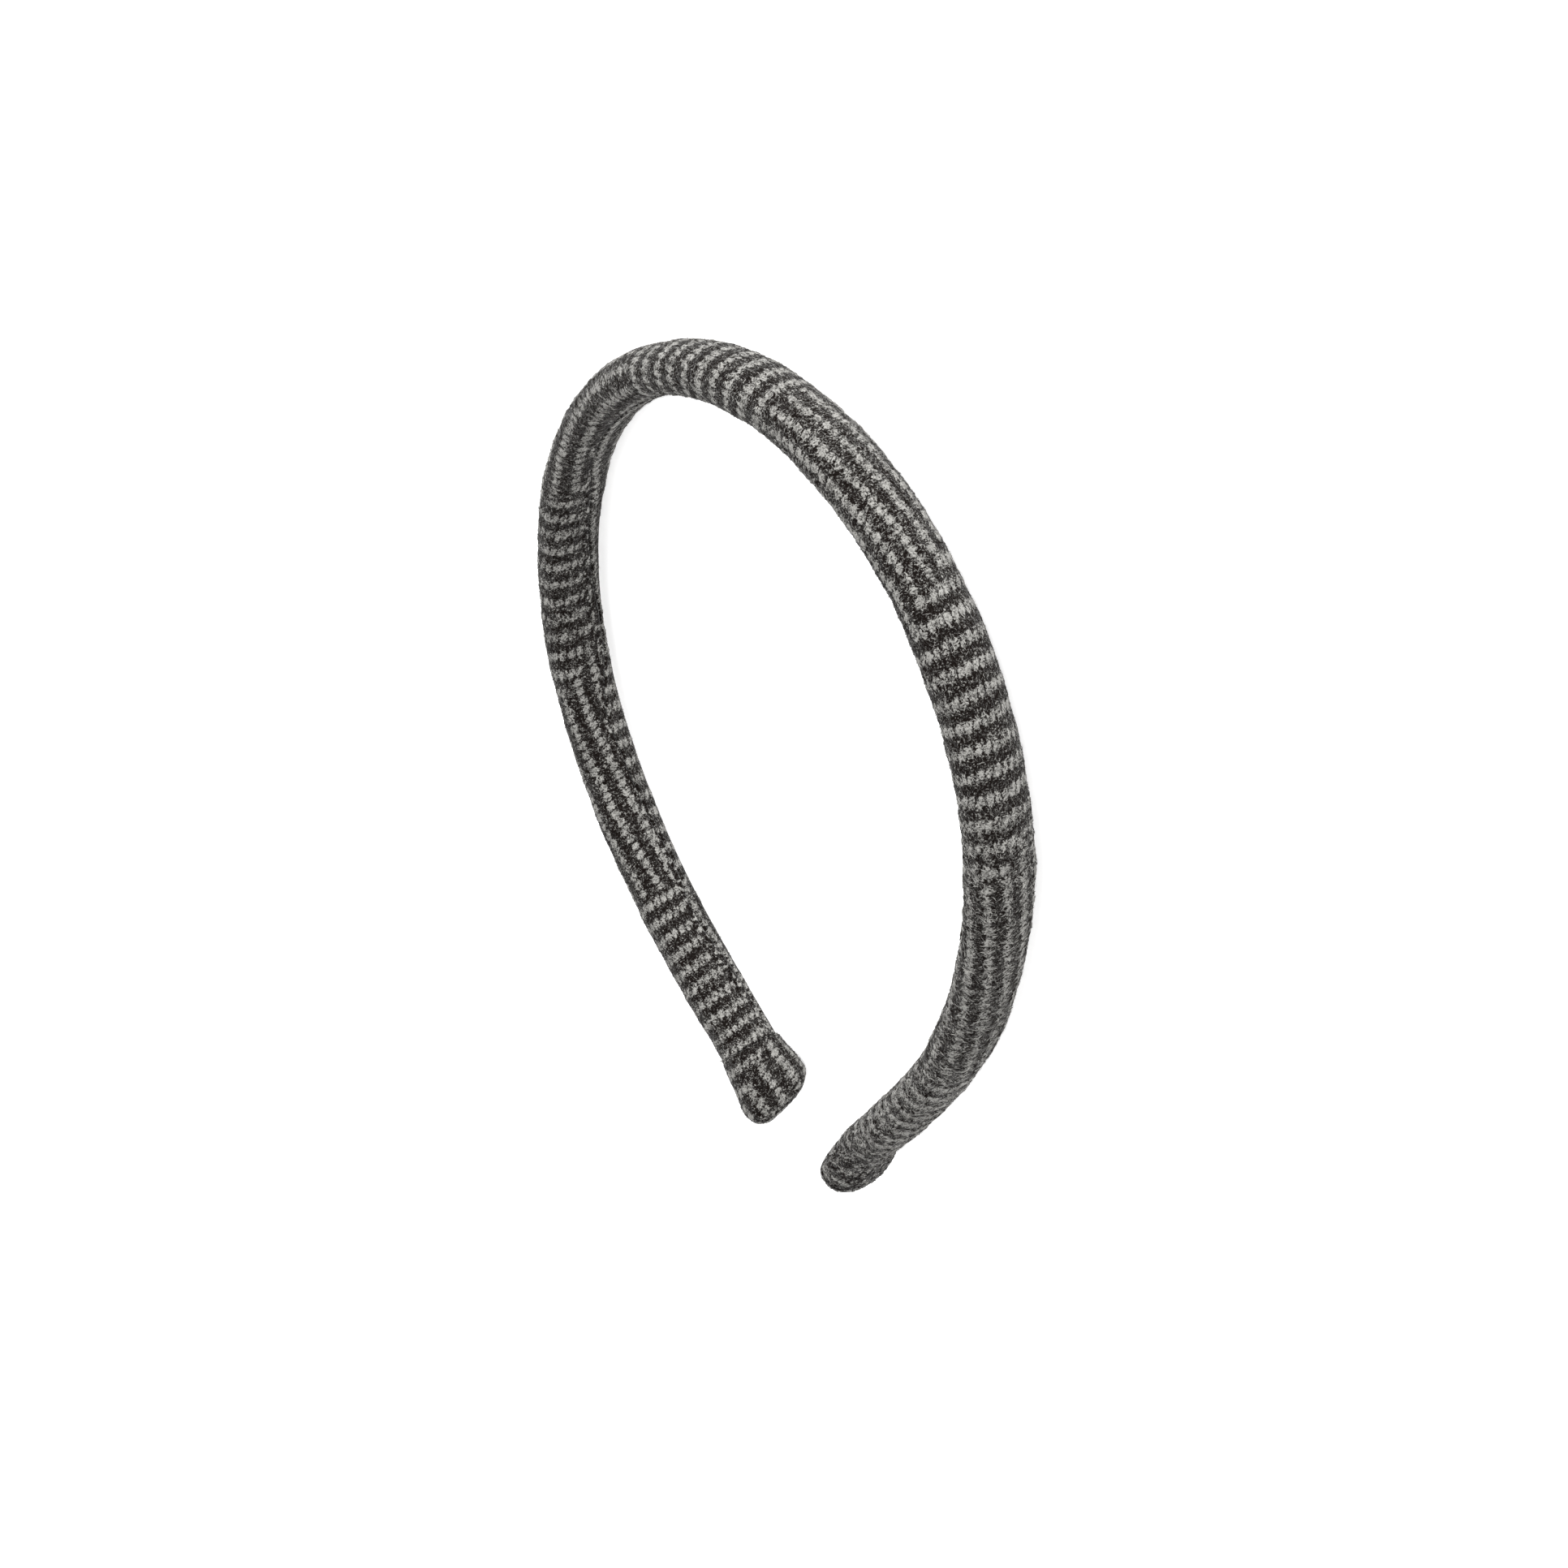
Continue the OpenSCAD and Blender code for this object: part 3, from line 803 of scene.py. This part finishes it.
def fibre_faces(number):
    """Triangles of the closed strands, over the three sides of each."""
    start = np.arange(number)[:, None] * STRAND_POINTS
    faces = []
    for i, j in ((0, 1), (1, 2), (2, 0)):
        faces.append(start + np.array([0, 1 + j, 1 + i]))
        faces.append(start + np.array([1 + i, 1 + j, 4 + j]))
        faces.append(start + np.array([1 + i, 4 + j, 4 + i]))
        faces.append(start + np.array([7, 4 + i, 4 + j]))
    return np.concatenate(faces)


def fibre_piece(name, grids, low, high, material):
    """Thin curly closed strands that lie on the cloth, each three-sided with a point at both ends."""
    points, normals, along, check, nap = roots(grids, low, high, FIBRES_A_PIECE)
    veil, ragged, level, light_share = nap.T
    number = len(points)
    raised = rng.random(number) < RAISED_SHARE
    yarn_way = COMBED_TWIST + check[:, 2] * math.pi / 2
    vertices = fibre_points(points, unit(normals), unit(along), yarn_way, ragged, raised)
    faces = fibre_faces(number)
    mesh = bpy.data.meshes.new(name)
    mesh.from_pydata(vertices.tolist(), [], faces.tolist())
    # The nap's level and light share hold painted shade and painted light in some stretches, so the fibres'
    # tones carry them too
    shown = yarn(check.T) * (1 - veil) + level * veil
    light = rng.random(number) < growing(LIGHT_CHANCE, shown) * light_share
    tone = np.where(light, between(LIGHT_TONES, number), between(DARK_TONES, number))
    tone = np.where(raised, between(RAISED_TONES, number), tone)
    numbers = np.stack([tone, veil * ~raised, 0 * tone], -1)
    lay_numbers(mesh, "tone", np.repeat(numbers, STRAND_POINTS, axis=0))
    lay_map(mesh, strand_map(tone, faces % STRAND_POINTS, faces // STRAND_POINTS))
    return finish_piece(name, mesh, material)


class Web:
    """Short ways to add and link the nodes of one material."""

    def __init__(self, name):
        self.material = bpy.data.materials.new(name)
        self.material.use_nodes = True
        self.tree = self.material.node_tree
        self.shader = self.tree.nodes["Principled BSDF"]

    def node(self, kind, settings=None, **inputs):
        made = self.tree.nodes.new(kind)
        for key, value in (settings or {}).items():
            setattr(made, key, value)
        for key, value in inputs.items():
            self.feed(made.inputs[key], value)
        return made

    def feed(self, socket, value):
        if isinstance(value, bpy.types.NodeSocket):
            self.tree.links.new(value, socket)
        else:
            socket.default_value = value

    def feed_all(self, made, values):
        for socket, value in zip(made.inputs, values):
            self.feed(socket, value)
        return made.outputs[0]

    def math(self, operation, *values):
        return self.feed_all(self.node("ShaderNodeMath", {"operation": operation}), values)

    def plus(self, a, b):
        return self.math("ADD", a, b)

    def minus(self, a, b):
        return self.math("SUBTRACT", a, b)

    def times(self, a, b):
        return self.math("MULTIPLY", a, b)

    def total(self, value, *parts):
        """A value with other values added, each times its amount."""
        for part, amount in parts:
            value = self.plus(value, self.times(part, amount))
        return value

    def blend(self, share, a, b):
        return self.plus(self.times(a, self.minus(1.0, share)), self.times(b, share))

    def ramp(self, value, low, high, start=0.0, stop=1.0):
        made = self.node("ShaderNodeMapRange", {"interpolation_type": "SMOOTHSTEP"})
        return self.feed_all(made, (value, low, high, start, stop))

    def mix(self, share, colours):
        """A mix of two colours. Inputs 6 and 7 of this node are its colours, and output 2 is their mix."""
        made = self.node("ShaderNodeMix", {"data_type": "RGBA"})
        for number, value in zip((0, 6, 7), (share, *colours)):
            self.feed(made.inputs[number], value)
        return made.outputs[2]

    def vector(self, *values):
        return self.feed_all(self.node("ShaderNodeCombineXYZ"), values)

    def numbers(self, name):
        """The three numbers that a mesh's points carry under a name."""
        settings = {"attribute_name": name, "attribute_type": "GEOMETRY"}
        attribute = self.node("ShaderNodeAttribute", settings)
        return self.node("ShaderNodeSeparateXYZ", Vector=attribute.outputs["Vector"]).outputs

    def place(self):
        return self.node("ShaderNodeTexCoord").outputs["Object"]

    def noise(self, where, grain, warp=0.0):
        scale, detail, rough = grain
        made = self.node("ShaderNodeTexNoise", Vector=where, Scale=scale, Detail=detail, Roughness=rough)
        made.inputs["Distortion"].default_value = warp
        return made.outputs["Fac"]

    def drift(self, where, grain):
        """Noise about zero."""
        return self.minus(self.noise(where, grain), 0.5)

    def cell(self, *numbers):
        """A random number of 0 to 1 for a cell."""
        made = self.node("ShaderNodeTexWhiteNoise", {"noise_dimensions": "3D"}, Vector=self.vector(*numbers))
        return made.outputs["Value"]

    def finish(self, colour, settings):
        """Links the colour and sets the other values on the shader's own sockets."""
        self.feed(self.shader.inputs["Base Color"], colour)
        for key, value in settings.items():
            self.shader.inputs[key].default_value = value
        return self.material


def web_ovals(web, row, way, form, seed):
    """The ovals of light yarn in nodes, and a random brightness for each."""
    number = web.math("ROUND", row)
    across = web.times(web.minus(row, number), form["row"])
    along = web.plus(web.times(way, form["count"]), web.times(number, form["shift"]))
    count = web.math("ROUND", along)
    along = web.minus(web.times(web.minus(along, count), form["step"]), web.times(across, OVAL_SLANT))
    shares = [web.math("DIVIDE", value, half) for value, half in zip((across, along), form["half"])]
    distance = web.math("SQRT", web.plus(*(web.math("POWER", share, 2.0) for share in shares)))
    return web.ramp(distance, *COLOUR_FADE, 1.0, 0.0), web.cell(number, count, seed)


def web_yarn(web, where, bar, line, kind, ragged):
    """Where the light yarn shows, times its tone, with drifting and ragged edges."""
    moved = []
    for number, slow, fine in ((bar, BAR_DRIFT, BAR_RAGGED), (line, LINE_DRIFT, LINE_RAGGED)):
        number = web.total(number, (web.drift(where, slow), DRIFT_AMOUNT))
        moved.append(web.total(number, (web.times(web.drift(where, fine), ragged), RAGGED_AMOUNT)))
    bars, bars_bright = web_ovals(web, moved[0], moved[1], BAR_OVALS, 1.0)
    lines, lines_bright = web_ovals(web, moved[1], moved[0], LINE_OVALS, 2.0)
    bright = web.blend(kind, bars_bright, lines_bright)
    return web.times(web.blend(kind, bars, lines), web.total(YARN_TONE[0], (bright, YARN_TONE[1])))


def web_strands(web, where, scale, seed):
    """Bundles of thin curly lines, as loose fibres lie on brushed cloth."""
    moved = web.node("ShaderNodeVectorMath", {"operation": "ADD"})
    web.feed(moved.inputs[0], where)
    moved.inputs[1].default_value = [seed * shift for shift in STRAND_SHIFT]
    level = web.noise(moved.outputs[0], (scale, *STRAND_NOISE), STRAND_WARP)
    ripples = web.math("SINE", web.times(level, STRAND_RIPPLES * 2 * math.pi))
    return web.ramp(ripples, STRAND_EDGE, 1.0)


def web_streaks(web, bar, line, kind):
    """Fine streaks of a yarn's own fibres, drawn out along the band in bars and round it in lines."""
    along, across = web.times(bar, BAR_PERIOD), web.times(line, LINE_PERIOD)
    streaks = [
        web.noise(web.vector(web.times(drawn, 1 / STREAK_STRETCH), other), STREAK, STREAK_WARP)
        for drawn, other in ((along, across), (across, along))
    ]
    return web.blend(kind, *streaks)


def web_spots(web, where, veil):
    """Larger spots that the brushed nap is mottled with where it veils the check."""
    return web.times(web.drift(where, SPOTS), web.times(veil, SPOT_AMOUNT))


def cloth_material():
    web = Web("brushed_check_cloth")
    where = web.place()
    bar, line, kind = web.numbers("check")
    # The nap's level holds painted shade and painted light in some stretches of the band, and painted shade
    # at the right tip's nose
    veil, ragged, nap_and_painted_light_level = web.numbers("nap")
    strands = [web_strands(web, where, scale, seed) for seed, scale in enumerate(STRAND_SCALES, 1)]
    streak = web_streaks(web, bar, line, kind)
    cloud = web.drift(where, CLOUD)
    level = web.blend(veil, web_yarn(web, where, bar, line, kind, ragged), nap_and_painted_light_level)
    level = web.plus(level, web_spots(web, where, veil))
    grains = [(cloud, CLOUD_AMOUNT), (web.drift(where, SPECK), SPECK_AMOUNT)]
    grains.append((web.minus(streak, 0.5), STREAK_AMOUNT))
    level = web.total(level, *grains, *zip(strands, STRAND_TONES))
    height = web.total(cloud, (strands[0], BUMP_STRANDS), (strands[1], BUMP_STRANDS), (streak, BUMP_STREAKS))
    bump = web.node("ShaderNodeBump", Height=height, Strength=BUMP_STRENGTH, Distance=BUMP_DEPTH)
    web.feed(web.shader.inputs["Normal"], bump.outputs["Normal"])
    colour = web.mix(web.ramp(level, *TONE_RANGE), CLOTH_COLOURS)
    settings = {"Roughness": 0.95, "Sheen Weight": 0.3, "Sheen Roughness": 0.25, "Specular IOR Level": 0.05}
    return web.finish(colour, settings)


def fibre_material():
    """Loose fibres of the same wool, each with its own grey."""
    web = Web("loose_wool_fibres")
    where = web.place()
    tone, veil, _ = web.numbers("tone")
    level = web.total(tone, (web.drift(where, FIBRE_DRIFT), FIBRE_DRIFT_AMOUNT))
    level = web.plus(level, web_spots(web, where, veil))
    return web.finish(web.mix(level, FIBRE_COLOURS), {"Roughness": 0.9, "Specular IOR Level": 0.05})


def floor_material():
    """A pale floor that glows a little, as a studio's lit ground does."""
    web = Web("pale_floor")
    colour = web.mix(web.noise(web.place(), FLOOR_DRIFT), FLOOR_COLOURS)
    settings = {"Roughness": 0.9, "Specular IOR Level": 0.1, "Emission Strength": FLOOR_GLOW}
    return web.finish(colour, settings | {"Emission Color": (1, 1, 1, 1)})


def build_headband():
    cloth, wool = cloth_material(), fibre_material()
    cover, lap = cover_grid(), lap_grid()
    folds = [fold_grid(side) for side in (-1, 1)]
    pieces = []
    for name, node, grid, strips in (
        ("padded_cover", "cover", cover, COVER_STRIPS), ("lapped_edge", "seam_lap", lap, LAP_STRIPS),
        ("left_end_fold", "end_fold_left", folds[0], 1), ("right_end_fold", "end_fold_right", folds[1], 1),
    ):
        piece = make_piece(name, grid, cloth, strips)
        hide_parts(node)
        pieces.append(piece)
    for name, low, high in NAP_PIECES:
        pieces.append(fibre_piece(name, [cover, lap, *folds], low, high, wool))
    return pieces


def build_floor():
    mesh = bpy.data.meshes.new("floor")
    size = FLOOR_HALF_SIZE
    corners = [(-size, -size, 0), (size, -size, 0), (size, size, 0), (-size, size, 0)]
    mesh.from_pydata(corners, [], [(0, 1, 2, 3)])
    mesh.materials.append(floor_material())
    floor = bpy.data.objects.new("floor", mesh)
    bpy.context.scene.collection.objects.link(floor)
    floor.location.z = FLOOR_HEIGHT


def build_camera():
    tilt = Matrix.Rotation(REST_TILT, 3, "X")
    axes = Matrix((CAMERA_RIGHT, -Vector(CAMERA_DOWN), -Vector(CAMERA_VIEW))).transposed()
    data = bpy.data.cameras.new("camera")
    data.sensor_width = SENSOR_WIDTH
    data.lens = SENSOR_WIDTH * FOCAL_PIXELS / FRAME_PIXELS
    data.clip_start, data.clip_end = CLIP_RANGE
    camera = bpy.data.objects.new("camera", data)
    camera.matrix_world = (tilt @ axes).to_4x4()
    camera.location = (tilt @ Vector(CAMERA_PLACE) + Vector(ORIGIN_SHIFT)) * MM
    bpy.context.scene.collection.objects.link(camera)
    bpy.context.scene.camera = camera


def build_lights():
    world = bpy.data.worlds.new("studio")
    world.use_nodes = True
    world.node_tree.nodes["Background"].inputs["Color"].default_value = (1, 1, 1, 1)
    world.node_tree.nodes["Background"].inputs["Strength"].default_value = 1.0
    bpy.context.scene.world = world
    data = bpy.data.lights.new("key", "AREA")
    data.shape, data.size, data.energy = "DISK", KEY_SIZE, KEY_POWER
    light = bpy.data.objects.new("key", data)
    light.location = KEY_PLACE
    light.rotation_mode = "QUATERNION"
    light.rotation_quaternion = (-Vector(KEY_PLACE)).to_track_quat("-Z", "Y")
    bpy.context.scene.collection.objects.link(light)
    bpy.context.scene.view_settings.view_transform = "Standard"


for piece in build_headband():
    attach(piece, "root")
build_floor()
build_camera()
build_lights()
